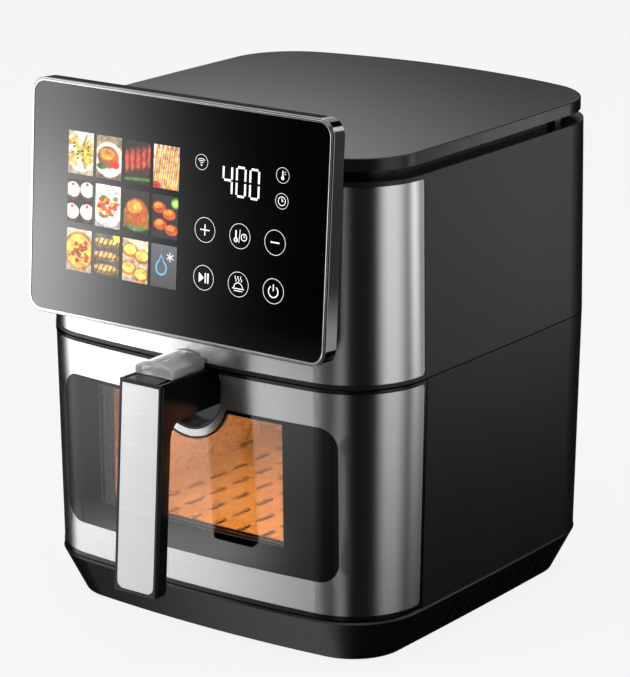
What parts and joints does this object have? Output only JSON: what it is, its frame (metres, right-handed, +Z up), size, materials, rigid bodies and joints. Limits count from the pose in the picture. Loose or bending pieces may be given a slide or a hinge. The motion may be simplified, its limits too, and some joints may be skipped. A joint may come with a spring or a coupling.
{
  "type": "air fryer",
  "caption": "Counter-top air fryer with a windowed pull-out drawer, upright handle with guarded release button, raised leaning touch panel and flat lid.",
  "frame": {"origin": "centre of the footprint box on the plane of the feet's undersides", "axes": "+Z up, -Y out of the front face, so the drawer pulls out along -Y, +X to the right side as seen from the back"},
  "size_m": [0.2842, 0.3581, 0.3596],
  "materials": {
    "charcoal_plastic": "satin",
    "black_plastic": "satin",
    "gloss_black": "polished",
    "brushed_steel": "brushed",
    "cover_grey": "satin",
    "polished_frame": "polished",
    "panel_black_glass": "gloss",
    "window_black_glass": "gloss",
    "clear_glass": "clear",
    "clear_polycarbonate": "clear",
    "sheet_steel": "satin",
    "nonstick": "satin coating",
    "heater_sheath": "oxidised",
    "aluminium": "as rolled",
    "rubber": "matt",
    "silicone": "matt",
    "circuit_board": "solder mask",
    "white_ceramic": "matt",
    "spring_steel": "bright"
  },
  "bodies": {
    "housing": {"base_tray": "black_plastic", "rubber_feet": "rubber", "base_screws": "spring_steel", "base_deck": "black_plastic", "lower_shell": "charcoal_plastic", "cord_gland": "rubber", "upper_shell": "charcoal_plastic", "upper_front_steel": "brushed_steel", "top_collar": "black_plastic", "top_cover": "cover_grey", "panel_housing": "polished_frame", "panel_bezel": "polished_frame", "panel_glass": "panel_black_glass", "display_board": "circuit_board", "panel_back_cover": "black_plastic", "panel_bracket": "black_plastic", "inner_liner": "sheet_steel", "mid_deck": "sheet_steel", "heat_reflector": "sheet_steel", "heating_element": "heater_sheath", "element_clips": "sheet_steel", "element_guard": "spring_steel", "rail_right": "sheet_steel", "rail_left": "sheet_steel", "microswitch": "white_ceramic", "thermal_fuse": "white_ceramic", "temperature_sensor": "spring_steel", "oven_lamp": "white_ceramic", "lamp_cover": "clear_glass", "exhaust_duct": "sheet_steel", "rear_grille": "black_plastic", "motor_bracket": "sheet_steel", "motor_body": "sheet_steel", "power_board": "circuit_board"},
    "drawer": {"drawer_front_frame": "black_plastic", "drawer_front_steel": "brushed_steel", "window_glass": "window_black_glass", "drawer_pan": "nonstick", "basket": "nonstick", "basket_window": "clear_glass", "window_seal": "silicone", "handle_bracket": "sheet_steel", "handle_screws": "spring_steel", "handle_body": "gloss_black", "handle_trim": "brushed_steel", "latch_keeper": "spring_steel", "button_spring": "spring_steel"},
    "fan_rotor": {"motor_shaft": "spring_steel", "convection_fan": "aluminium", "cooling_fan": "aluminium"},
    "guard": {"button_guard": "clear_polycarbonate"},
    "button": {"release_button": "gloss_black"},
    "latch": {"release_latch": "spring_steel"},
    "crisper": {"crisper_plate": "nonstick", "crisper_bumpers": "silicone"}
  },
  "joints": [
    {"name": "drawer_slide", "type": "slide", "parent": "housing", "child": "drawer", "axis": [0, -1, 0], "range_m": [0, 0.19]},
    {"name": "guard_slide", "type": "slide", "parent": "drawer", "child": "guard", "axis": [0, -1, 0], "range_m": [0, 0.012]},
    {"name": "button_press", "type": "slide", "parent": "drawer", "child": "button", "axis": [0, 0, -1], "range_m": [0, 0.003], "stiffness_N_per_m": 600, "springref_m": -0.002, "deforming": ["button_spring"]},
    {"name": "latch_slide", "type": "slide", "parent": "drawer", "child": "latch", "axis": [0, -1, 0], "range_m": [0, 0.003]},
    {"name": "crisper_lift", "type": "slide", "parent": "drawer", "child": "crisper", "axis": [0, 0, 1], "range_m": [0, 0.1]},
    {"name": "fan_spin", "type": "hinge", "parent": "housing", "child": "fan_rotor", "pos_m": [0, 0.01513, 0.2186], "axis": [0, 0, 1], "continuous": true}
  ],
  "couplings": [
    {"joint": "latch_slide", "follows": "button_press", "ratio": 1}
  ]
}
